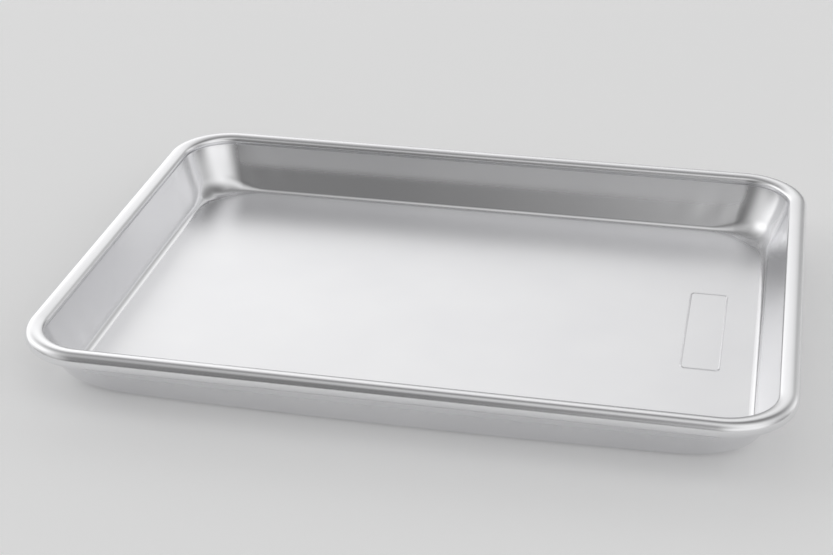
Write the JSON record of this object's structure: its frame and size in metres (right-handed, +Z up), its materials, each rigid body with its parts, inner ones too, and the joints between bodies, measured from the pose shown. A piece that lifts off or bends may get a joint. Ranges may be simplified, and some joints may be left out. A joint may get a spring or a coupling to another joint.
{
  "type": "jelly roll pan",
  "caption": "Shallow rectangular baking pan of pressed aluminium sheet, with sloping walls, rounded corners and a rim rolled over a steel wire.",
  "frame": {"origin": "middle of the footprint, on the plane that the flat floor rests on", "axes": "+X along the length, towards the end with the pressed outline; +Y across the width, towards the back; +Z up"},
  "size_m": [0.328, 0.246, 0.0277],
  "materials": {
    "sheet": "satin rolled sheet",
    "wire": "galvanised"
  },
  "bodies": {
    "root": {"pan": "sheet", "rim_wire": "wire"}
  },
  "joints": []
}
